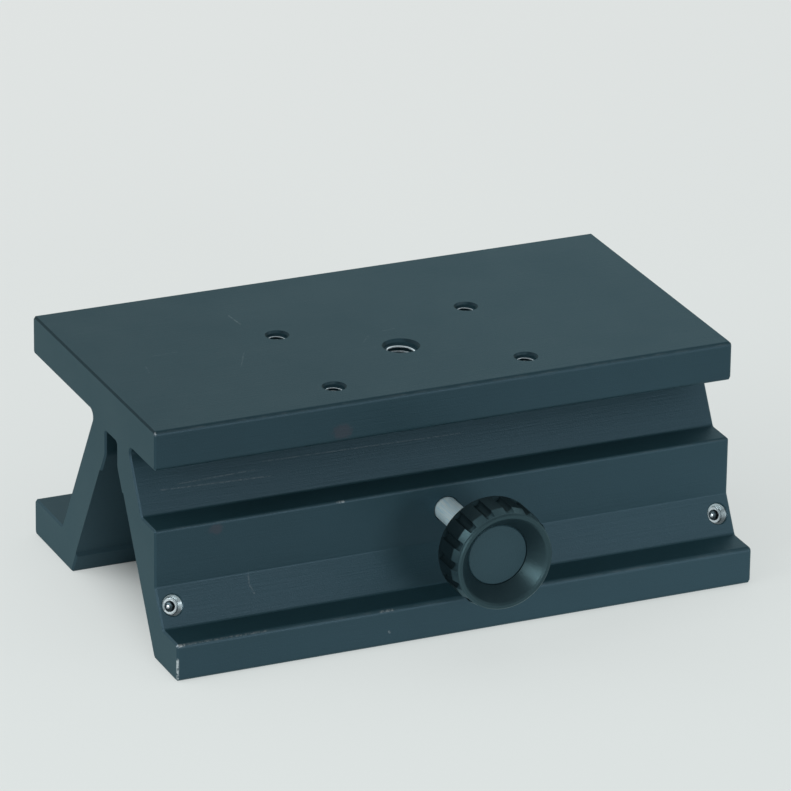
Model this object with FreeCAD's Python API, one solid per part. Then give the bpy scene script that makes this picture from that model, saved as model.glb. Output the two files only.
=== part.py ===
import FreeCAD, Part
import math
import os
from FreeCAD import Vector

# Optical bench rider: a length of black extrusion that straddles a triangular rail and is locked
# to it by a knob on its front leg. Millimetres. X runs along the rail, Y across it, Z up.
# Y = 0 halves the rail groove, Z = 0 is the plane of the two feet, X = 0 is mid-length.
# The knob is on the -Y side.

# Extrusion
length = 150.0
height = 58.0
plate_thickness = 10.0
plate_front = 28.0
plate_rear = 51.6
neck_half_width = 10.9
leg_angle = 30.0
leg_wall = 10.3
slot_width = 7.5
roof_thickness = 12.0
foot_height = 9.6
front_foot_reach = 42.0
block_top = 33.0
outer_corner_radius = 0.8
plate_corner_radius = 1.1
foot_corner_radius = 1.2
inner_corner_radius = 1.5
slot_mouth_radius = 3.0
groove_edge_radius = 0.5
end_chamfer = 0.45

# Milled running faces inside the groove
front_milling_depth = 1.05
rear_milling_depth = 0.6
milling_top = 34.6
rear_milling_bottom = 6.3
front_lead_in = 0.8

# Tapped holes in the plate
centre_thread_radius = 4.0
plate_thread_radius = 2.5
pattern_length = 50.0
pattern_width = 35.0
centre_mouth_chamfer = 0.65
plate_mouth_chamfer = 0.5

# Clamp screw
clamp_x = 0.0
clamp_height = 26.4
spindle_radius = 3.0
spindle_nose_chamfer = 0.6
clamp_bore_clearance = 0.05
clamp_bore_chamfer = 0.3
exposed_spindle = 23.0

# Brass nose of the clamp screw
nose_head_radius = 2.4
nose_head_length = 3.0
nose_stem_radius = 1.25
nose_stem_length = 4.0
nose_clearance = 0.05
nose_face_gap = 0.1
nose_inset = 0.5

# Knob
knob_radius = 12.7
knob_depth = 10.8
knob_rear_chamfer = 0.5
taper_start = 7.6
taper_end = 10.1
ring_outer_radius = 12.1
ring_edge_radius = 0.35
dish_mouth_radius = 10.6
rim_bevel = 0.45
dish_floor = 6.2
flute_count = 15
flute_phase = 11.0
flute_radius = 1.15
flute_start = 0.9
flute_end = 9.9
hub_radius = 6.9
skirt_inner_radius = 10.5
rear_recess_depth = 3.8

# Cap of the knob
cap_radius = 7.6
cap_thickness = 1.1
cap_edge_round = 0.3
cap_clearance = 0.05
spigot_outer_radius = 6.2
spigot_wall = 0.7
spigot_length = 1.0

# Collet that holds the knob on the spindle
bush_outer_radius = 5.2
bush_length = 3.3
bush_groove_depth = 0.5
bush_groove_width = 1.2
collet_shank_radius = 3.75
collet_head_radius = 4.35
collet_cone_length = 1.7
collet_rear_inset = 0.2
collet_slit_width = 0.6
collet_slit_count = 3
collet_clearance = 0.02
nut_outer_radius = 5.0
nut_thickness = 1.4
nut_slot_width = 1.2
nut_slot_depth = 0.7
spindle_front_inset = 1.5

# Set screws near both ends of the front leg
set_screw_inset = 3.6
set_screw_height = 14.4
set_screw_radius = 2.5
set_screw_length = 5.0
set_screw_clearance = 0.05
set_screw_recess = 2.3
set_screw_chamfer = 0.8
set_bore_chamfer = 0.25
hex_across_flats = 2.5
hex_depth = 2.6

# Brass pins pushed by the set screws
pin_head_radius = 2.0
pin_stem_radius = 0.9
pin_stem_length = 1.4
pin_tip_inset = 0.25
pin_clearance = 0.05
pin_face_gap = 0.05

slope = math.tan(math.radians(leg_angle))
slant = math.cos(math.radians(leg_angle))
underside = height - plate_thickness
clamp_out = Vector(0, -1, 0)
knob_rear = -plate_front - exposed_spindle


def leg_face(z):
    """Distance of a leg's outer face from the groove's middle plane, at height z."""
    return neck_half_width + (underside - z) * slope


def raw_groove(z):
    """Half width of the groove as extruded, at height z."""
    return leg_face(z) - leg_wall / slant


def running_face(depth, z):
    """Half width of the groove at height z where the cutter went this deep, square to the wall."""
    return raw_groove(z) + depth / slant


def set_screw_seat(side):
    """Point on the front leg's outer face where a set screw goes in, and its way square into the leg."""
    z = set_screw_height
    inward = Vector(0, slant, -math.sin(math.radians(leg_angle)))
    return Vector(side * (length / 2 - set_screw_inset), -leg_face(z), z), inward


def rounded_wire(corners, x):
    """Closed outline at one X through (y, z, radius) corners, each rounded by a tangent arc."""
    points = [Vector(x, y, z) for y, z, radius in corners]
    arcs = []
    for i, (y, z, radius) in enumerate(corners):
        here = points[i]
        back = (points[i - 1] - here).normalize()
        ahead = (points[(i + 1) % len(points)] - here).normalize()
        half = back.getAngle(ahead) / 2
        reach = radius / math.tan(half)
        middle = here + (back + ahead).normalize() * (radius / math.sin(half) - radius)
        arcs.append((here + back * reach, middle, here + ahead * reach))
    edges = []
    for arc, following in zip(arcs, arcs[1:] + arcs[:1]):
        edges += [Part.Arc(*arc).toShape(), Part.makeLine(arc[2], following[0])]
    return Part.Wire(edges)


def turned(profile, origin, direction):
    """Solid turned from an (along, radius) profile about an axis through origin."""
    points = [Vector(radius, 0, along) for along, radius in profile]
    face = Part.Face(Part.makePolygon(points + points[:1]))
    solid = face.revolve(Vector(0, 0, 0), Vector(0, 0, 1), 360)
    solid.Placement = FreeCAD.Placement(origin, FreeCAD.Rotation(Vector(0, 0, 1), direction))
    return solid


def extrusion():
    """The rider's section, drawn once round and pulled along the rail."""
    kink = underside - (plate_front - neck_half_width) / slope
    slot_half = slot_width / 2
    slot_mouth = (raw_groove(0) - slot_half) / slope
    slot_top = height - roof_thickness
    soft, foot, inner = outer_corner_radius, foot_corner_radius, inner_corner_radius
    plate = plate_corner_radius
    section = rounded_wire([
        (-front_foot_reach, 0, foot),
        (-front_foot_reach, foot_height, foot),
        (-leg_face(foot_height), foot_height, soft),
        (-plate_front, kink, soft),
        (-plate_front, block_top, soft),
        (-leg_face(block_top), block_top, soft),
        (-neck_half_width, underside, inner),
        (-plate_front, underside, plate),
        (-plate_front, height, plate),
        (plate_rear, height, plate),
        (plate_rear, underside, plate),
        (neck_half_width, underside, inner),
        (leg_face(foot_height), foot_height, soft),
        (plate_rear, foot_height, foot),
        (plate_rear, 0, foot),
        (raw_groove(0), 0, groove_edge_radius),
        (slot_half, slot_mouth, slot_mouth_radius),
        (slot_half, slot_top, soft),
        (-slot_half, slot_top, soft),
        (-slot_half, slot_mouth, slot_mouth_radius),
        (-raw_groove(0), 0, groove_edge_radius),
    ], -length / 2)
    body = Part.Face(section).extrude(Vector(length, 0, 0))
    ends = [edge for edge in body.Edges
            if all(abs(abs(vertex.X) - length / 2) < 1e-6 for vertex in edge.Vertexes)]
    return body.makeChamfer(end_chamfer, ends)


def milling(side, outline):
    """Slab that the cutter takes off one wall of the groove, from its (half width, height) outline."""
    reach = length / 2 + 1
    corners = [Vector(-reach, side * half, z) for half, z in outline]
    return Part.Face(Part.makePolygon(corners + corners[:1])).extrude(Vector(2 * reach, 0, 0))


def front_milling():
    """The front running face goes right down to the foot, with its edge broken."""
    depth, lead = front_milling_depth, front_lead_in
    edge = running_face(depth, 0) + lead
    return milling(-1, [
        (raw_groove(milling_top) - 1, milling_top), (running_face(depth, milling_top), milling_top),
        (running_face(depth, lead), lead), (edge + (1 + slope) * lead, -lead),
        (raw_groove(-lead) - 1, -lead),
    ])


def rear_milling():
    """The rear running face stops above the foot, where the cutter's straight side leaves a step."""
    depth, bottom = rear_milling_depth, rear_milling_bottom
    widest = running_face(depth, bottom)
    step = bottom - depth / slant / slope
    return milling(1, [
        (raw_groove(milling_top) - 1, milling_top), (running_face(depth, milling_top), milling_top),
        (widest, bottom), (widest, step), (widest - 1, step),
    ])


def bore(origin, direction, radius, chamfer, depth):
    """Cutter for a round hole that starts at a face, with its mouth chamfered."""
    profile = [(-1, 0), (-1, radius + chamfer + 1), (chamfer, radius), (depth, radius), (depth, 0)]
    return turned(profile, origin, direction)


def rider_body():
    body = extrusion().cut(front_milling()).cut(rear_milling())
    down, through = Vector(0, 0, -1), roof_thickness + 1
    holes = [bore(Vector(0, 0, height), down, centre_thread_radius, centre_mouth_chamfer, through)]
    for x in (-pattern_length / 2, pattern_length / 2):
        for y in (-pattern_width / 2, pattern_width / 2):
            mouth = Vector(x, y, height)
            holes.append(bore(mouth, down, plate_thread_radius, plate_mouth_chamfer, through))
    holes.append(bore(Vector(clamp_x, -plate_front, clamp_height), -clamp_out,
                      spindle_radius + clamp_bore_clearance, clamp_bore_chamfer, plate_front))
    for side in (-1, 1):
        origin, inward = set_screw_seat(side)
        holes.append(bore(origin, inward, set_screw_radius + set_screw_clearance,
                          set_bore_chamfer, leg_wall + 2))
    for hole in holes:
        body = body.cut(hole)
    return body


def knob_part(profile):
    """Solid turned about the clamp axis, measured forward from the knob's rear face."""
    return turned(profile, Vector(clamp_x, knob_rear, clamp_height), clamp_out)


def spindle_tip():
    """Y of the spindle's tip: the brass nose ahead of it stays just inside the front leg."""
    wall = -running_face(front_milling_depth, clamp_height - nose_head_radius)
    return wall - nose_inset - nose_head_length - nose_face_gap


def clamp_spindle():
    tip = knob_rear - spindle_tip()
    front = bush_length + nut_thickness - spindle_front_inset
    stem_hole = nose_stem_radius + nose_clearance
    stem_floor = tip + nose_stem_length + nose_clearance
    chamfer = spindle_nose_chamfer
    return knob_part([
        (stem_floor, 0), (stem_floor, stem_hole), (tip, stem_hole),
        (tip, spindle_radius - chamfer), (tip + chamfer, spindle_radius),
        (front - chamfer, spindle_radius), (front, spindle_radius - chamfer), (front, 0),
    ])


def domed_pin(origin, direction, head_radius, head_length, stem_radius, stem_length):
    """Brass pin: a domed head ahead of origin, and a stem behind it."""
    rise = head_radius / 3
    ball = (head_radius ** 2 + rise ** 2) / (2 * rise)
    dome = Part.makeSphere(ball, origin + direction * (head_length - ball))
    head = Part.makeCylinder(head_radius, head_length, origin, direction).common(dome)
    stem = Part.makeCylinder(stem_radius, stem_length, origin, -direction)
    return head.fuse(stem)


def clamp_nose():
    origin = Vector(clamp_x, spindle_tip() + nose_face_gap, clamp_height)
    return domed_pin(origin, -clamp_out, nose_head_radius, nose_head_length,
                     nose_stem_radius, nose_stem_length)


def knob_grip():
    """Moulded grip: fluted outside, dished in front, hollow behind, round a moulded-in bush."""
    ring = ring_edge_radius
    cap_seat = dish_floor - cap_thickness
    seat_radius = cap_radius + cap_clearance
    well_radius = spigot_outer_radius + cap_clearance
    grip = knob_part([
        (0, bush_outer_radius), (0, hub_radius), (rear_recess_depth, hub_radius),
        (rear_recess_depth, skirt_inner_radius), (0, skirt_inner_radius),
        (0, knob_radius - knob_rear_chamfer), (knob_rear_chamfer, knob_radius),
        (taper_start, knob_radius), (taper_end, ring_outer_radius),
        (knob_depth - ring, ring_outer_radius), (knob_depth, ring_outer_radius - ring),
        (knob_depth, dish_mouth_radius + rim_bevel), (knob_depth - rim_bevel, dish_mouth_radius),
        (dish_floor, seat_radius), (cap_seat, seat_radius), (cap_seat, well_radius),
        (bush_length, well_radius), (bush_length, bush_outer_radius),
    ])
    ridge = bush_length / 2 - bush_groove_width / 2
    collar = knob_part([
        (ridge, bush_outer_radius - bush_groove_depth), (ridge, bush_outer_radius + 1),
        (ridge + bush_groove_width, bush_outer_radius + 1),
        (ridge + bush_groove_width, bush_outer_radius - bush_groove_depth),
    ])
    grip = grip.fuse(collar).removeSplitter()
    for i in range(flute_count):
        angle = math.radians(flute_phase + i * 360 / flute_count)
        foot = Vector(clamp_x + knob_radius * math.cos(angle), knob_rear - flute_start,
                      clamp_height + knob_radius * math.sin(angle))
        grip = grip.cut(Part.makeCylinder(flute_radius, flute_end - flute_start, foot, clamp_out))
    return grip


def knob_bush():
    """Brass bush moulded into the grip, with the cone that the collet is drawn into."""
    clearance = collet_clearance
    cone_top = collet_head_radius + clearance
    ridge = bush_length / 2 - bush_groove_width / 2
    groove = bush_outer_radius - bush_groove_depth
    cone_end = collet_rear_inset + collet_cone_length
    return knob_part([
        (0, cone_top), (0, bush_outer_radius), (ridge, bush_outer_radius), (ridge, groove),
        (ridge + bush_groove_width, groove), (ridge + bush_groove_width, bush_outer_radius),
        (bush_length, bush_outer_radius), (bush_length, collet_shank_radius + clearance),
        (cone_end, collet_shank_radius + clearance), (collet_rear_inset, cone_top),
    ])


def knob_collet():
    """Split collet that grips the spindle. Its slits open at the cone."""
    front = bush_length + nut_thickness
    cone_end = collet_rear_inset + collet_cone_length
    collet = knob_part([
        (collet_rear_inset, spindle_radius), (collet_rear_inset, collet_head_radius),
        (cone_end, collet_shank_radius), (front, collet_shank_radius), (front, spindle_radius),
    ])
    slit = Part.makeBox(collet_head_radius + 1, bush_length, collet_slit_width,
                        Vector(0, -bush_length, -collet_slit_width / 2))
    for i in range(collet_slit_count):
        cutter = slit.copy()
        cutter.rotate(Vector(0, 0, 0), Vector(0, 1, 0), i * 360 / collet_slit_count)
        cutter.translate(Vector(clamp_x, knob_rear, clamp_height))
        collet = collet.cut(cutter)
    return collet


def collet_nut():
    """Round nut on the collet's front end, slotted for a driver."""
    front = bush_length + nut_thickness
    inner = collet_shank_radius
    nut = knob_part([(bush_length, inner), (bush_length, nut_outer_radius),
                     (front, nut_outer_radius), (front, inner)])
    slot = Part.makeBox(2 * nut_outer_radius + 2, nut_slot_depth, nut_slot_width,
                        Vector(clamp_x - nut_outer_radius - 1, knob_rear - front,
                               clamp_height - nut_slot_width / 2))
    return nut.cut(slot)


def knob_cap():
    """Cover disc pressed into the dish by its spigot."""
    seat = dish_floor - cap_thickness
    spigot_inner = spigot_outer_radius - spigot_wall
    tail = seat - spigot_length
    edge = cap_edge_round
    return knob_part([
        (seat, 0), (seat, spigot_inner), (tail, spigot_inner), (tail, spigot_outer_radius),
        (seat, spigot_outer_radius), (seat, cap_radius), (dish_floor - edge, cap_radius),
        (dish_floor, cap_radius - edge), (dish_floor, 0),
    ])


def set_screw(side):
    """Socket set screw, with a hole in its point for the brass pin."""
    origin, inward = set_screw_seat(side)
    chamfer = set_screw_chamfer
    point = set_screw_length
    stem_hole = pin_stem_radius + pin_clearance
    stem_floor = point - pin_stem_length - pin_clearance
    start = origin + inward * set_screw_recess
    screw = turned([
        (0, 0), (0, set_screw_radius - chamfer), (chamfer, set_screw_radius),
        (point - chamfer, set_screw_radius), (point, set_screw_radius - chamfer),
        (point, stem_hole), (stem_floor, stem_hole), (stem_floor, 0),
    ], start, inward)
    corners = [Vector(hex_across_flats / math.sqrt(3) * math.cos(math.radians(60 * i)),
                      hex_across_flats / math.sqrt(3) * math.sin(math.radians(60 * i)), 0)
               for i in range(6)]
    socket = Part.Face(Part.makePolygon(corners + corners[:1])).extrude(Vector(0, 0, hex_depth))
    socket.Placement = FreeCAD.Placement(start, FreeCAD.Rotation(Vector(0, 0, 1), inward))
    return screw.cut(socket)


def set_pin(side):
    origin, inward = set_screw_seat(side)
    depth = set_screw_recess + set_screw_length + pin_face_gap
    head_length = leg_wall - front_milling_depth - pin_tip_inset - depth
    return domed_pin(origin + inward * depth, inward, pin_head_radius, head_length,
                     pin_stem_radius, pin_stem_length)


parts = {
    "rider_body": rider_body(),
    "clamp_spindle": clamp_spindle(),
    "clamp_nose": clamp_nose(),
    "knob_grip": knob_grip(),
    "knob_bush": knob_bush(),
    "knob_collet": knob_collet(),
    "collet_nut": collet_nut(),
    "knob_cap": knob_cap(),
    "left_set_screw": set_screw(-1),
    "right_set_screw": set_screw(1),
    "left_pressure_pin": set_pin(-1),
    "right_pressure_pin": set_pin(1),
}

os.makedirs("parts", exist_ok=True)
for name, shape in parts.items():
    if shape.ShapeType != "Solid" and len(shape.Solids) == 1:
        shape = shape.Solids[0]
    assert shape.isValid(), name
    shape.exportStep("parts/" + name + ".step")
    print(name, len(shape.Solids), round(shape.Volume, 2))
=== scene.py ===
import math

import bmesh
import bpy
from mathutils import Matrix, Vector


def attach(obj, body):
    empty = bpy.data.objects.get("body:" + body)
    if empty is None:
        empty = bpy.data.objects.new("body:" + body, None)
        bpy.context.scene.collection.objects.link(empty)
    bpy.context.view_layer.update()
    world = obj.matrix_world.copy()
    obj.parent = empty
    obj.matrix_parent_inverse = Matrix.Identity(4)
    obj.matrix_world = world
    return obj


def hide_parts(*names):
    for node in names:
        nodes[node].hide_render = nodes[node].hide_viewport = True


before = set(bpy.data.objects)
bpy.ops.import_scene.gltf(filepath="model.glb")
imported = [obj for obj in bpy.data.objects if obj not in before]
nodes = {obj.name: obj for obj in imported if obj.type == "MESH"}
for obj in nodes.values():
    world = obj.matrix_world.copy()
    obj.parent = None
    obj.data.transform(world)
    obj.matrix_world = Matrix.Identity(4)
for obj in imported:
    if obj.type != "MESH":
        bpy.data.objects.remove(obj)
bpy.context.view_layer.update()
scene = bpy.context.scene
scene.view_settings.view_transform = "Standard"
print("frame loaded:", len(nodes), "parts")


class Wire:  # one output socket, with node maths as Python operators
    def __init__(self, tree, link=None):
        self.tree, self.link = tree, link

    def node(self, kind, settings, inputs, output=0):
        made = self.tree.nodes.new(kind)
        for name, value in settings.items():  # settings first: they change which sockets there are
            setattr(made, name, value)
        for name, value in inputs.items():
            if isinstance(value, Wire):
                self.tree.links.new(value.link, made.inputs[name])
            else:
                made.inputs[name].default_value = value
        return Wire(self.tree, made.outputs[output])

    def also(self, output):  # another output of the same node
        return Wire(self.tree, self.link.node.outputs[output])

    def maths(self, operation, first, second=0.0):
        return self.node("ShaderNodeMath", {"operation": operation}, {0: first, 1: second})

    def __add__(self, other):
        return self.maths("ADD", self, other)

    __radd__ = __add__

    def __sub__(self, other):
        return self.maths("SUBTRACT", self, other)

    def __rsub__(self, other):
        return self.maths("SUBTRACT", other, self)

    def __mul__(self, other):
        return self.maths("MULTIPLY", self, other)

    __rmul__ = __mul__

    def __truediv__(self, other):
        return self.maths("DIVIDE", self, other)

    def __abs__(self):
        return self.maths("ABSOLUTE", self)

    def orBigger(self, other):
        return self.maths("MAXIMUM", self, other)

    def orSmaller(self, other):
        return self.maths("MINIMUM", self, other)

    def fade(self, low, high, atLow=0.0, atHigh=1.0):  # smooth step from low to high
        return self.node("ShaderNodeMapRange", {"interpolation_type": "SMOOTHSTEP"},
                         {"Value": self, "From Min": low, "From Max": high, "To Min": atLow, "To Max": atHigh})

    def between(self, first, second):  # colours mixed with this wire as the factor
        ends = [end if isinstance(end, Wire) else (*end, 1.0) for end in (first, second)]
        return self.node("ShaderNodeMix", {"data_type": "RGBA"}, {0: self, 6: ends[0], 7: ends[1]}, 2)

    def stretched(self, *scale):
        return self.node("ShaderNodeVectorMath", {"operation": "MULTIPLY"}, {0: self, 1: scale})

    def moved(self, *shift):
        return self.node("ShaderNodeVectorMath", {"operation": "ADD"}, {0: self, 1: shift})

    def turned(self, *degrees):
        angles = [math.radians(a) for a in degrees]
        return self.node("ShaderNodeMapping", {}, {"Vector": self, "Rotation": angles})

    def distanceTo(self, point):
        return self.node("ShaderNodeVectorMath", {"operation": "DISTANCE"}, {0: self, 1: point}, "Value")

    def scaled(self, factor):
        return self.node("ShaderNodeVectorMath", {"operation": "SCALE"}, {0: self, "Scale": factor})

    def parts(self):
        split = self.node("ShaderNodeSeparateXYZ", {}, {"Vector": self})
        return split, split.also(1), split.also(2)

    def noise(self, scale, detail=2.0, roughness=0.5):
        return self.node("ShaderNodeTexNoise", {}, {"Vector": self, "Scale": scale, "Detail": detail,
                                                    "Roughness": roughness})

    def bumped(self, depth):  # normals bent by this height, which is depth metres at 1
        return self.node("ShaderNodeBump", {}, {"Height": self, "Distance": depth})

    def stroke(self, start, end, width):  # soft mask round a straight line
        way = [b - a for a, b in zip(start, end)]
        offset = self.moved(*(-a for a in start))
        along = offset.node("ShaderNodeVectorMath", {"operation": "DOT_PRODUCT"}, {0: offset, 1: way}, "Value")
        share = (along / sum(d * d for d in way)).orBigger(0.0).orSmaller(1.0)
        foot = share.node("ShaderNodeVectorMath", {"operation": "SCALE"}, {0: way, "Scale": share})
        return offset.distanceTo(foot).fade(width * 0.35, width, 1.0, 0.0)


def painted(name, fixed, paint=None):
    made = bpy.data.materials.new(name)
    made.use_nodes = True
    shader = made.node_tree.nodes["Principled BSDF"]
    for socket, value in fixed.items():
        shader.inputs[socket].default_value = value
    if paint is not None:
        place = Wire(made.node_tree).node("ShaderNodeTexCoord", {}, {}, "Object")
        for socket, wire in paint(place.stretched(1000, 1000, 1000)).items():  # patterns are in millimetres
            made.node_tree.links.new(wire.link, shader.inputs[socket])
    return made


def mixed(material, share, first, second):  # the material shows a share of the second shader
    tree = material.node_tree
    both = Wire(tree).node("ShaderNodeMixShader", {}, {0: share, 1: first, 2: second})
    tree.links.new(both.link, tree.nodes["Material Output"].inputs["Surface"])


def blackened(name, look, paint):
    # dull dye under a dark mirror that count half each; where bare is 1, all is mirror
    made = bpy.data.materials.new(name)
    made.use_nodes = True
    start = Wire(made.node_tree)
    texture = paint(start.node("ShaderNodeTexCoord", {}, {}, "Object").stretched(1000, 1000, 1000))
    over = made.node_tree.nodes["Principled BSDF"]
    over.inputs["Metallic"].default_value = 1.0
    over.inputs["Specular Tint"].default_value = (*look["edge"], 1)
    for socket, wire in {"Base Color": texture["sheen"], "Roughness": texture["roughness"],
                         "Normal": texture["normal"]}.items():
        made.node_tree.links.new(wire.link, over.inputs[socket])
    under = start.node("ShaderNodeBsdfPrincipled", {}, {"Base Color": texture["dye"], "Roughness": 1.0,
                                                        "Specular IOR Level": 0.0, "Normal": texture["normal"]})
    mixed(made, texture["bare"] * 0.5 + 0.5, under, Wire(made.node_tree, over.outputs[0]))
    return made


camera = {"place": (-0.58517, -1.30987, 0.63916), "turn": (67.5003, -0.7027, -23.7337), "lens": 292.82}

eye = bpy.data.objects.new("camera", bpy.data.cameras.new("camera"))
eye.location = camera["place"]
eye.rotation_euler = [math.radians(a) for a in camera["turn"]]
eye.data.lens = camera["lens"]
eye.data.clip_start, eye.data.clip_end = 0.1, 40
scene.collection.objects.link(eye)
scene.camera = eye

studio = {
    # painted light: the ground runs from the darker ground colour near the front to the lighter groundFar at
    # the back
    "ground": (0.730, 0.778, 0.770), "groundFar": (0.820, 0.835, 0.826), "groundHalf": 9,
    "backdrop": (0.76, 0.783, 0.776), "lampsAim": (0, 0, 0.03),
    "fill": 0.66,            # even light from all round, on dull surfaces
    "shadow": 0.32,          # how much of its shading the pale ground shows
    "footprint": ((-0.075, -0.042, 0), (0.075, 0.0516, 0)),  # under the rider the ground is shaded in full
    "glow": 0.45,            # how much brighter polished surfaces see what lies behind and beside it
    "ceiling": 0.3,          # what polished surfaces see straight above
    "frontHorizon": 0.45,    # and low down behind the camera
    "lamps": {
        "window": {"place": (-1.4, 0.25, 1.0), "size": (2.0, 0.45), "power": 8},
        "front": {"place": (0.14, -1.50, 0.38), "size": (0.38, 0.33), "power": 6.9},
        "left front": {"place": (-1.10, -1.00, 0.30), "size": (0.4, 0.4), "power": 1.5},
        "side": {"place": (-1.27, -0.34, 0.50), "size": (0.5, 0.5), "power": 3.7},
    },
}

world = bpy.data.worlds.new("studio")
scene.world = world
world.use_nodes = True
air = Wire(world.node_tree)
camRay = air.node("ShaderNodeLightPath", {}, {}, "Is Camera Ray")
mirrorRay = camRay.also("Is Glossy Ray")
aside, ahead, up = air.node("ShaderNodeTexCoord", {}, {}, "Generated").parts()
roof = up.fade(0.5, 0.9, 1.0, studio["ceiling"])
low = (aside * -0.35 - ahead * 0.94).fade(0.5, 0.9) * abs(up).fade(0.12, 0.4, 1.0, 0.0)
behind = ahead.fade(0.0, 0.6) * studio["glow"] + 1.0
mirrorLight = roof * (1.0 - low * (1.0 - studio["frontHorizon"])) * behind
strength = camRay + mirrorRay * mirrorLight + (1.0 - camRay.orBigger(mirrorRay)) * studio["fill"]
background = world.node_tree.nodes["Background"]
world.node_tree.links.new(camRay.orBigger(mirrorRay).between((1, 1, 1), studio["backdrop"]).link,
                          background.inputs["Color"])
world.node_tree.links.new(strength.link, background.inputs["Strength"])

for name, lamp in studio["lamps"].items():
    light = bpy.data.lights.new(name, "AREA")
    light.shape, light.energy = "RECTANGLE", lamp["power"]
    light.size, light.size_y = lamp["size"]
    holder = bpy.data.objects.new(name, light)
    holder.location = lamp["place"]
    way = Vector(studio["lampsAim"]) - Vector(lamp["place"])
    holder.rotation_euler = way.to_track_quat("-Z", "Y").to_euler()
    scene.collection.objects.link(holder)

ground = bpy.data.meshes.new("ground")
reach = studio["groundHalf"]
ground.from_pydata([(-reach, -reach, 0), (reach, -reach, 0), (reach, reach, 0), (-reach, reach, 0)], [],
                   [(0, 1, 2, 3)])
groundPiece = bpy.data.objects.new("ground", ground)
scene.collection.objects.link(groundPiece)
paper = painted("pale ground", {"Base Color": (*studio["ground"], 1), "Roughness": 0.9,
                                "Specular IOR Level": 0.0})
flat = Wire(paper.node_tree)
seen = flat.node("ShaderNodeLightPath", {}, {}, "Is Camera Ray")
mirrored = seen.also("Is Glossy Ray")
seen = seen.orBigger(mirrored)
groundX, groundY, _ = flat.node("ShaderNodeTexCoord", {}, {}, "Object").parts()
(lowX, lowY, _), (highX, highY, _) = studio["footprint"]
outside = (abs(groundX - (lowX + highX) / 2) - (highX - lowX) / 2).orBigger(
    abs(groundY - (lowY + highY) / 2) - (highY - lowY) / 2).fade(-0.02, 0.004)
mixed(paper, seen * outside * (1.0 - studio["shadow"]),
      Wire(paper.node_tree, paper.node_tree.nodes["Principled BSDF"].outputs[0]),
      flat.node("ShaderNodeEmission", {}, {
          "Color": groundY.fade(-0.3, 0.8).between(studio["ground"], studio["groundFar"]),
          "Strength": mirrored * groundY.fade(-0.085, -0.06) * studio["glow"] + 1.0}))
ground.materials.append(paper)
print("camera, lamps and ground placed")


anodising = {
    "dye": (0.0145, 0.0465, 0.0580), "dyeFaded": (0.0175, 0.0550, 0.0690),
    "sheen": (0.047, 0.068, 0.088), "edge": (0.86, 1.0, 1.0), "roughness": 0.45,
    "bare": (0.42, 0.47, 0.49), "stain": (0.075, 0.055, 0.065),
    "legAngle": 30, "legReach": 38.613,  # the legs' outer faces, where they would meet the floor (mm)
    "scratches": [  # start, end, half width (mm), strength
        ((-31.1, 33.3, 58), (-30.6, 27.3, 58), 0.30, 0.24),
        ((-36.6, 10.4, 58), (-40.5, 2.6, 58), 0.25, 0.12),
        ((-7.5, 5.5, 58), (-4.8, 8.7, 58), 0.25, 0.12),
        ((-0.2, 10.3, 58), (3.0, 10.8, 58), 0.25, 0.12),
        ((-61.9, 10.5, 58), (-62.5, 6.5, 58), 0.25, 0.12),
        ((-58.8, 16.0, 58), (-51.5, 16.4, 58), 0.25, 0.10),
        ((-69.0, -16.7, 38.0), (-41.1, -17.1, 37.3), 0.25, 0.13),
        ((-64.7, -16.3, 38.7), (-44.8, -16.1, 39.1), 0.22, 0.12),
        ((-42.4, -15.2, 40.5), (8.8, -15.6, 39.8), 0.22, 0.10),
        ((-50.7, -26.6, 23.2), (-51.4, -28.4, 17.7), 0.22, 0.08),
        ((-51.4, -28.4, 17.7), (-51.6, -29.3, 16.1), 0.25, 0.16),
        ((-51.6, -29.3, 16.1), (-50.7, -30.6, 13.9), 0.25, 0.22),
        ((-74.9, -41.8, 0.9), (-74.9, -41.8, 5.7), 0.55, 1.00),
        ((-74.7, -41.6, 9.1), (-73.2, -41.5, 9.2), 0.55, 0.90),
        ((-73.2, -41.6, 9.3), (-52.0, -41.6, 9.3), 0.40, 0.35),
        ((-74.9, -27.8, 57.2), (-74.6, -27.6, 57.6), 0.50, 0.35),
        ((-28.3, -27.8, 32.7), (-26.8, -27.8, 32.7), 0.45, 0.60),
        ((-23.0, -41.7, 9.2), (-19.6, -41.7, 9.2), 0.45, 0.55),
        ((-20.9, -42.0, 3.9), (-20.7, -42.0, 3.5), 0.35, 0.50),
    ],
    "stains": [  # centre, size (mm)
        ((-27.3, -28, 50.8), (2.9, 3, 2.3)),
        ((-59.4, -28, 31.0), (2.1, 3, 1.6)),
    ],
}


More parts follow.
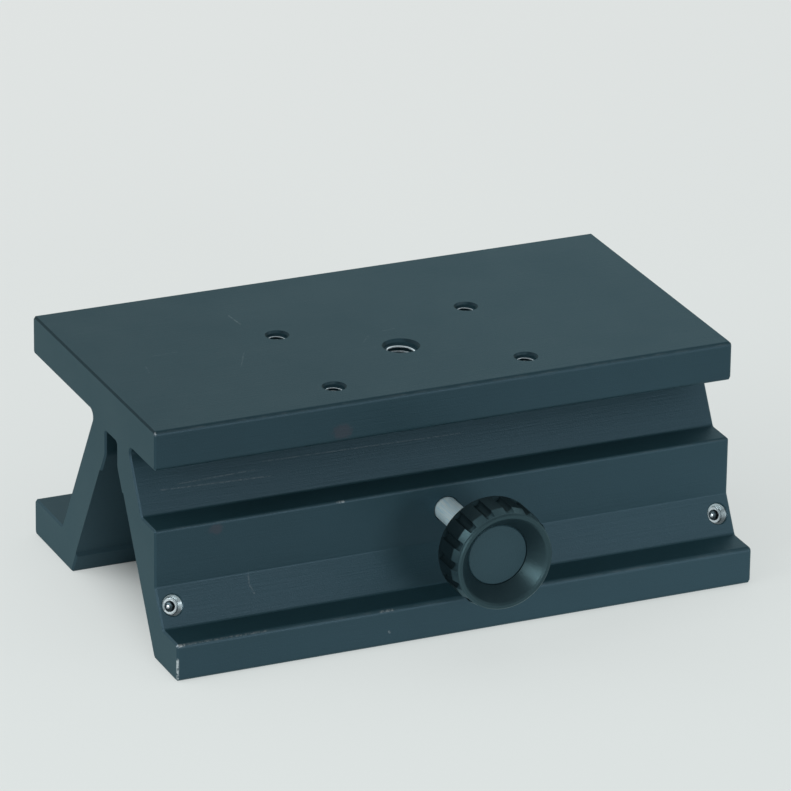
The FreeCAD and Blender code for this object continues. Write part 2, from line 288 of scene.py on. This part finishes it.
def anodised(place):
    look = anodising
    grain = place.noise(2.6, 3, 0.6)
    cloud = place.noise(0.06, 4, 0.6)
    dieLines = place.stretched(0.02, 1, 1).noise(2.6, 4, 0.7)
    breaks = place.noise(1.3, 3, 0.65)
    along, across, height = place.parts()
    nx, ny, nz = (abs(part) for part in place.node("ShaderNodeTexCoord", {}, {}, "Normal").parts())
    end = nx.fade(0.9, 0.99)
    top = nz.fade(0.9, 0.99)
    # the legs' slanted faces are flat too, though they turn half towards Z
    lean = math.radians(look["legAngle"])
    onLegs = (abs(across) + height * math.tan(lean) - look["legReach"]).fade(0.1, 0.4, 1.0, 0.0)
    slanted = (ny * math.cos(lean) + nz * math.sin(lean)) * onLegs
    longEdge = ny.orBigger(nz).orBigger(slanted).fade(0.78, 0.93, 1.0, 0.0) * nx.fade(0.2, 0.4, 1.0, 0.0)
    # painted dark reflection: the chamfers between the plate's top and its ends are darkened
    paintedDarkReflection = (nx * nz).fade(0.15, 0.4) * height.fade(57, 57.4)
    # a painted edge highlight: a faint bright line along every long edge, worn bare metal in patches over it;
    # the scratches and hairlines below are wear
    wearAndEdgeHighlight = longEdge * (place.stretched(0.3, 1, 1).noise(0.8, 3, 0.7).fade(0.42, 0.72) * 0.12 + 0.02)
    for start, finish, width, strength in look["scratches"]:
        wearAndEdgeHighlight = wearAndEdgeHighlight.orBigger(place.stroke(start, finish, width) * breaks.fade(0.34, 0.6) * strength)
    hairs = place.turned(0, 0, 24).stretched(0.05, 2.2, 2.2).noise(1.0, 2, 0.5).fade(0.68, 0.76)
    crossing = place.turned(0, 0, -57).stretched(0.045, 2.4, 2.4).noise(1.0, 2, 0.5).fade(0.69, 0.77)
    hairs = hairs.orBigger(crossing)
    wearAndEdgeHighlight = wearAndEdgeHighlight + hairs * top * cloud.fade(0.45, 0.6) * 0.03
    stained = None
    for centre, size in look["stains"]:
        spot = place.moved(*(-c for c in centre)).stretched(*(1 / s for s in size)).distanceTo((0, 0, 0))
        spot = (spot + breaks * 0.9).fade(1.0, 1.5, 1.0, 0.0)
        stained = spot if stained is None else stained.orBigger(spot)
    tone = (cloud * 0.7 + dieLines * 0.5 * (1 - end) + grain * 0.35).fade(0.35, 1.15)
    dye = (stained * 0.45).between(tone.between(look["dye"], look["dyeFaded"]), look["stain"])
    # painted light: dye and sheen are scaled lighter towards the right end, lighter towards the feet, 3 %
    # lighter on top, and darker on the top-end chamfers
    depth = along.fade(-75, 75, 0.9, 1.1) * (1.0 - paintedDarkReflection * 0.5)
    depth = depth * (height.fade(0, 57, 1.12, 0.94) * (1.0 - top) + top * 1.03)
    dye = dye.scaled(depth)
    sheen = depth.node("ShaderNodeVectorMath", {"operation": "SCALE"}, {0: look["sheen"], "Scale": depth})
    return {"dye": dye, "sheen": wearAndEdgeHighlight.between(sheen, look["bare"]), "bare": wearAndEdgeHighlight,
            "roughness": (grain - 0.5) * 0.10 + (cloud - 0.5) * 0.14 + look["roughness"],
            "normal": (dieLines * (1 - end) + grain * 0.8).bumped(0.00004)}


black = blackened("black anodised aluminium", anodising, anodised)


knobPlace = {"height": 26.4, "rimStarts": (10.4, 11.0), "taperStarts": (-59.0, -58.4)}  # millimetres


def moulded(look):
    def paint(place):
        speckle = place.noise(look["grain"], 3, 0.6)
        rub = speckle.fade(0.6, 0.8) * look["rub"]
        _, across, _ = place.parts()
        _, facing, _ = place.node("ShaderNodeTexCoord", {}, {}, "Normal").parts()
        radius = place.moved(0, 0, -knobPlace["height"]).stretched(1, 0, 1).distanceTo((0, 0, 0))
        rim = radius.fade(*knobPlace["rimStarts"]) * abs(facing).fade(0.5, 0.8, 1.0, 0.0)
        shade = across.fade(*knobPlace["taperStarts"], look["taper"], look["sides"])
        depth = 1.0 - rim * (1.0 - shade)  # painted shade on the fluted sides and a painted highlight on the taper before them
        return {"dye": speckle.fade(0.3, 0.7).between(look["dye"], look["dyeFaded"]).scaled(depth), "bare": rub,
                "sheen": rub.between(look["sheen"], look["bare"]).scaled(depth),
                "roughness": speckle * 0.12 + look["roughness"] - 0.06,
                "normal": speckle.bumped(look["relief"])}
    return paint


# sides and taper scale the knob's colour: painted shade on the fluted sides, a painted highlight on the front
# taper
gripLook = {"dye": (0.0170, 0.0340, 0.0420), "dyeFaded": (0.0200, 0.0400, 0.0490),
            "sheen": (0.050, 0.088, 0.098), "edge": (0.84, 0.97, 1.0), "bare": (0.1, 0.13, 0.14),
            "roughness": 0.34, "grain": 2.2, "rub": 0.0, "relief": 0.00002, "sides": 0.45, "taper": 1.25}
capLook = {"dye": (0.0270, 0.0710, 0.0930), "dyeFaded": (0.0330, 0.0820, 0.1060),
           "sheen": (0.050, 0.070, 0.078), "edge": (0.8, 0.97, 1.0), "bare": (0.2, 0.24, 0.26),
           "roughness": 0.52, "grain": 2.8, "rub": 0.05, "relief": 0.00006, "sides": 1.0, "taper": 1.0}
gripPlastic = blackened("black moulded plastic", gripLook, moulded(gripLook))
capPlastic = blackened("dark grey cap plastic", capLook, moulded(capLook))


def groundSteel(place):
    streaks = place.stretched(6, 0.12, 6).noise(1.0, 4, 0.7)
    rings = place.stretched(0.5, 14, 0.5).noise(1.0, 2, 0.6)
    return {"Base Color": streaks.fade(0.3, 0.7).between((0.58, 0.86, 0.98), (0.88, 1.0, 1.0)),
            "Roughness": streaks * 0.2 + 0.36, "Normal": rings.bumped(0.00003)}


def lathed(place):
    rings = place.stretched(0.6, 9, 0.6).noise(1.0, 3, 0.6)
    return {"Base Color": rings.between((0.55, 0.40, 0.18), (0.74, 0.57, 0.29)), "Roughness": rings * 0.2 + 0.2}


steel = painted("ground steel", {"Metallic": 0.6}, groundSteel)
brass = painted("turned brass", {"Metallic": 1.0}, lathed)
plainMetals = {  # colour, metallic, roughness
    "zinc plated steel": ((0.55, 0.63, 0.66, 1), 1.0, 0.3),
    # painted shade: the hex sockets and the screws' flights are near-black steel for the shade in the recess
    "near-black socket steel": ((0.045, 0.065, 0.075, 1), 1.0, 0.35),
    # bare crests, brightened as a painted highlight by a half-dull finish
    "bare thread crests with painted highlight": ((0.68, 0.80, 0.86, 1), 0.5, 0.25),
    # painted shade: the set screws' tapped bores are darker metal than the cut aluminium
    "darkened tapped bore": ((0.36, 0.43, 0.46, 1), 1.0, 0.22),
    "cut aluminium": ((0.70, 0.77, 0.79, 1), 1.0, 0.3),
}
zinc, shadedSocketSteel, bareHighlitCrestMetal, shadedBoreAlloy, cutAlloy = (
    painted(name, {"Base Color": colour, "Metallic": metallic, "Roughness": roughness})
    for name, (colour, metallic, roughness) in plainMetals.items())

finishes = {
    "rider_body": black, "clamp_spindle": steel, "clamp_nose": brass, "knob_grip": gripPlastic,
    "knob_bush": brass, "knob_collet": brass, "collet_nut": brass, "knob_cap": capPlastic,
    "left_set_screw": zinc, "right_set_screw": zinc, "left_pressure_pin": brass, "right_pressure_pin": brass,
}
for name, finish in finishes.items():
    for holder in nodes[name].material_slots:
        holder.material = finish
print("finishes made:", len(bpy.data.materials))


def threadTree():
    # one helical ridge round Z, up from Z = 0; a negative Rise points inwards
    tree = bpy.data.node_groups.new("screw thread", "GeometryNodeTree")
    tree.is_modifier = True
    for name, kind in (("Turns", "Float"), ("Pitch", "Float"), ("Radius", "Float"), ("Rise", "Float"),
                       ("Root", "Float"), ("Crest", "Float"), ("Runout", "Float"), ("Steps", "Int"),
                       ("Metal", "Material")):
        tree.interface.new_socket(name, in_out="INPUT", socket_type="NodeSocket" + kind)
    tree.interface.new_socket("Mesh", in_out="OUTPUT", socket_type="NodeSocketGeometry")
    given = tree.nodes.new("NodeGroupInput")
    start = Wire(tree)
    size = {socket.name: Wire(tree, socket) for socket in given.outputs if socket.name}
    helix = start.node("GeometryNodeCurveSpiral", {}, {
        "Resolution": size["Steps"], "Rotations": size["Turns"], "Start Radius": size["Radius"],
        "End Radius": size["Radius"], "Height": size["Turns"] * size["Pitch"], "Reverse": True})
    helix = start.node("GeometryNodeSetCurveNormal", {"mode": "Z_UP"}, {"Curve": helix})
    place = start.node("GeometryNodeSplineParameter", {}, {}) * size["Turns"]
    swell = (place / size["Runout"]).orSmaller((size["Turns"] - place) / size["Runout"]).orSmaller(1.0)
    helix = start.node("GeometryNodeSetCurveRadius", {}, {"Curve": helix, "Radius": swell.orBigger(0.02)})

    def corner(out, half):
        return start.node("ShaderNodeCombineXYZ", {}, {"X": out, "Y": half})

    outline = start.node("GeometryNodeCurvePrimitiveQuadrilateral", {"mode": "POINTS"}, {
        "Point 1": corner(0.0, size["Root"] * -0.5), "Point 2": corner(size["Rise"], size["Crest"] * -0.5),
        "Point 3": corner(size["Rise"], size["Crest"] * 0.5), "Point 4": corner(0.0, size["Root"] * 0.5)})
    solid = start.node("GeometryNodeCurveToMesh", {}, {"Curve": helix, "Profile Curve": outline,
                                                       "Fill Caps": True})
    solid = start.node("GeometryNodeRealizeInstances", {}, {"Geometry": solid})
    solid = start.node("GeometryNodeSetMaterial", {}, {"Geometry": solid, "Material": size["Metal"]})
    tree.links.new(solid.link, tree.nodes.new("NodeGroupOutput").inputs[0])
    return tree


threadMaker = threadTree()


def thread(wall, crestRadius, crest, pitch, turns, runout=0.5):
    # 60 degree flanks from the wall's radius to the crest's
    rise = crestRadius - wall
    root = crest + 2 * abs(rise) * math.tan(math.radians(30))
    values = {"Turns": turns, "Pitch": pitch * 0.001, "Radius": wall * 0.001, "Rise": rise * 0.001,
              "Root": root * 0.001, "Crest": crest * 0.001, "Runout": runout, "Steps": 48, "Metal": zinc}
    holder = bpy.data.objects.new("thread", bpy.data.meshes.new("thread"))
    scene.collection.objects.link(holder)
    modifier = holder.modifiers.new("thread", "NODES")
    modifier.node_group = threadMaker
    for item in threadMaker.interface.items_tree:
        if item.in_out == "INPUT":
            modifier[item.identifier] = values[item.name]
    bpy.context.view_layer.update()
    made = bpy.data.meshes.new_from_object(holder.evaluated_get(bpy.context.evaluated_depsgraph_get()))
    bpy.data.objects.remove(holder)
    return made


def lathe(profile, steps=48):
    # (along, radius) points turned about Z; (along, half width, 6) makes a hexagon of that half width
    rings, points, faces = [], [], []
    for along, radius, *sides in profile:
        ring = []
        for i in range(1 if radius == 0 else steps):
            angle = i * math.tau / steps
            reach = radius * 0.001
            if sides:
                reach /= math.cos(angle % (math.pi / 3) - math.pi / 6)
            ring.append(len(points))
            points.append((reach * math.cos(angle), reach * math.sin(angle), along * 0.001))
        rings.append(ring)
    for lower, upper in zip(rings, rings[1:]):
        for i in range(steps):
            j = (i + 1) % steps
            face = [lower[i % len(lower)], lower[j % len(lower)], upper[j % len(upper)], upper[i % len(upper)]]
            faces.append(list(dict.fromkeys(face)))
    made = bpy.data.meshes.new("turned")
    made.from_pydata(points, [], faces)
    return made


def sleeve(bottom, top, radius):
    return lathe([(bottom, radius + 0.15), (bottom, radius), (top, radius), (top, radius + 0.15),
                  (bottom, radius + 0.15)])


def cutFlat(mesh, point, outwards):  # drops what lies beyond a plane and closes the cut
    whole = bmesh.new()
    whole.from_mesh(mesh)
    cut = bmesh.ops.bisect_plane(whole, geom=whole.verts[:] + whole.edges[:] + whole.faces[:], dist=1e-8,
                                 plane_co=point, plane_no=outwards, clear_outer=True)
    rim = [part for part in cut["geom_cut"] if isinstance(part, bmesh.types.BMEdge)]
    bmesh.ops.holes_fill(whole, edges=rim)
    whole.to_mesh(mesh)
    whole.free()


def joined(name, pieces, body, replaced=()):
    # pieces are (mesh, matrix, metal); makes one object with its origin at the world's
    whole = bmesh.new()
    metals = []
    for mesh, matrix, metal in pieces:
        if metal not in metals:
            metals.append(metal)
        before = len(whole.faces)
        mesh.transform(matrix)
        whole.from_mesh(mesh)
        whole.faces.ensure_lookup_table()
        for face in whole.faces[before:]:
            face.material_index = metals.index(metal)
        bpy.data.meshes.remove(mesh)
    bmesh.ops.remove_doubles(whole, verts=whole.verts, dist=1e-8)
    bmesh.ops.recalc_face_normals(whole, faces=whole.faces)
    mesh = bpy.data.meshes.new(name)
    whole.to_mesh(mesh)
    whole.free()
    for metal in metals:
        mesh.materials.append(metal)
    mesh.shade_smooth()
    mesh.set_sharp_from_angle(angle=math.radians(35))
    piece = bpy.data.objects.new(name, mesh)
    scene.collection.objects.link(piece)
    if replaced:
        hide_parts(*replaced)
    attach(piece, body)
    print(name + ":", len(mesh.polygons), "faces")


def at(x, y, z):
    return Matrix.Translation((x * 0.001, y * 0.001, z * 0.001))


def tilted(x, y, z, degrees):  # local Z turned towards -Y
    return at(x, y, z) @ Matrix.Rotation(math.radians(degrees), 4, "X")


plateHoles = {  # bareHighlitCrestBand is how far the bright band reaches from the crest outwards: bare metal, brightened as a painted highlight
    "centre": {"places": [(0, 0)], "wall": 4.0, "crest": 3.35, "crestWidth": 0.16, "bareHighlitCrestBand": 0.22,
               "pitch": 1.25, "start": 46.7, "turns": 8.24, "phase": 180},
    "pattern": {"places": [(-25, -17.5), (25, -17.5), (-25, 17.5), (25, 17.5)], "wall": 2.5, "crest": 2.07,
                "crestWidth": 0.1, "bareHighlitCrestBand": 0.06, "pitch": 0.8, "start": 48.5, "turns": 10.5, "phase": 0},
}
clamp = {
    "tip": -17.68, "height": 26.4, "front": -54.2, "shank": 3.0, "root": 2.42, "crestWidth": 0.1,
    "threadLength": 9.0, "pitch": 1.0, "stemHole": 1.3, "stemDepth": 4.05,
    "boreWall": 3.05, "boreCrest": 2.49, "boreCrestWidth": 0.16, "boreThreadStart": -22.0, "groove": 12.69,
}
setScrew = {
    "x": 71.4, "y": -30.299, "height": 14.4, "recess": 2.3, "length": 5.0, "crest": 2.5, "root": 2.06,
    "crestWidth": 0.08, "pitch": 0.8, "face": 2.0, "chamfer": 0.8, "flats": 2.5, "mouth": 1.36, "socket": 1.3,
    "stemHole": 0.95, "stemDepth": 1.45,
    "boreWall": 2.55, "boreCrest": 2.09, "boreCrestWidth": 0.16, "boreTop": -0.35, "boreBottom": -9.2,
}

tapped = []
for hole in plateHoles.values():
    for x, y in hole["places"]:
        matrix = at(x, y, hole["start"]) @ Matrix.Rotation(math.radians(hole["phase"]), 4, "Z")
        ridge = thread(hole["wall"] + 0.02, hole["crest"], hole["crestWidth"], hole["pitch"], hole["turns"])
        bareHighlitCrestBand = thread(hole["crest"] + hole["bareHighlitCrestBand"], hole["crest"] - 0.03, hole["crestWidth"] + 0.04,
                      hole["pitch"], hole["turns"])
        tapped += [(ridge, matrix, black), (bareHighlitCrestBand, matrix, bareHighlitCrestMetal)]

spindleFrame = tilted(0, clamp["tip"], clamp["height"], 90)
boreThread = thread(clamp["boreWall"] + 0.02, clamp["boreCrest"], clamp["boreCrestWidth"], clamp["pitch"],
                    7.68 + clamp["tip"] - clamp["boreThreadStart"])
boreThread.transform(spindleFrame @ at(0, 0, -8))
cutFlat(boreThread, (0, -(clamp["groove"] + 0.02) * 0.001, clamp["height"] * 0.001),
        (0, math.cos(math.radians(30)), -math.sin(math.radians(30))))
tapped.append((boreThread, Matrix(), cutAlloy))

screwFrames = {side: tilted(x, setScrew["y"], setScrew["height"], 60)
               for side, x in (("left", -setScrew["x"]), ("right", setScrew["x"]))}
boreTurns = (setScrew["boreTop"] - setScrew["boreBottom"]) / setScrew["pitch"] - 0.5
boreStart = setScrew["boreBottom"] + 0.25 * setScrew["pitch"]
for matrix in screwFrames.values():
    tapped.append((thread(setScrew["boreWall"] + 0.02, setScrew["boreCrest"], setScrew["boreCrestWidth"],
                          setScrew["pitch"], boreTurns), matrix @ at(0, 0, boreStart), shadedBoreAlloy))
    tapped.append((sleeve(setScrew["boreBottom"], setScrew["boreTop"], setScrew["boreWall"] - 0.02), matrix,
                   shadedBoreAlloy))
joined("tapped_threads", tapped, "rider")

end = clamp["tip"] - clamp["front"]
shank = lathe([(clamp["stemDepth"], 0), (clamp["stemDepth"], clamp["stemHole"]), (0, clamp["stemHole"]),
               (0, clamp["root"] - 0.35), (0.35, clamp["root"]), (clamp["threadLength"], clamp["root"]),
               (clamp["threadLength"] + 0.58, clamp["shank"]), (end - 0.6, clamp["shank"]),
               (end, clamp["shank"] - 0.6), (end, 0)], 64)
flight = thread(clamp["root"] - 0.02, clamp["shank"], clamp["crestWidth"], clamp["pitch"],
                clamp["threadLength"] / clamp["pitch"] - 0.2)
joined("spindle_dressed", [(shank, spindleFrame, steel), (flight, spindleFrame @ at(0, 0, 0.5), steel)],
       "clamp_screw", ["clamp_spindle"])

near = -setScrew["recess"]
far = near - setScrew["length"]
flat = setScrew["flats"] / 2
flightStart = boreStart + 0.5 * setScrew["pitch"]
while flightStart < far + 0.3:
    flightStart += setScrew["pitch"]
flightTurns = math.floor((near - setScrew["chamfer"] - flightStart) / setScrew["pitch"] * 4) / 4
for side, matrix in screwFrames.items():
    core = lathe([(far + setScrew["stemDepth"], 0), (far + setScrew["stemDepth"], setScrew["stemHole"]),
                  (far, setScrew["stemHole"]), (far, setScrew["face"]), (far + 0.36, setScrew["root"]),
                  (near - 0.36, setScrew["root"]), (near, setScrew["face"]), (near, setScrew["mouth"]),
                  (near - 0.12, flat, 6)])
    bottom = near - setScrew["socket"]
    socket = lathe([(near - 0.12, flat, 6), (bottom, flat, 6), (bottom, 0.45)])
    dimple = lathe([(bottom, 0.45), (bottom - 0.3, 0)])
    flight = thread(setScrew["root"] - 0.02, setScrew["crest"], setScrew["crestWidth"], setScrew["pitch"],
                    flightTurns, 0.8)
    joined(side + "_screw_dressed", [
        (core, matrix, zinc), (socket, matrix, shadedSocketSteel), (dimple, matrix, zinc),
        (flight, matrix @ at(0, 0, flightStart), shadedSocketSteel)],
           side + "_screw", [side + "_set_screw"])
print("threads, spindle and set screws made")
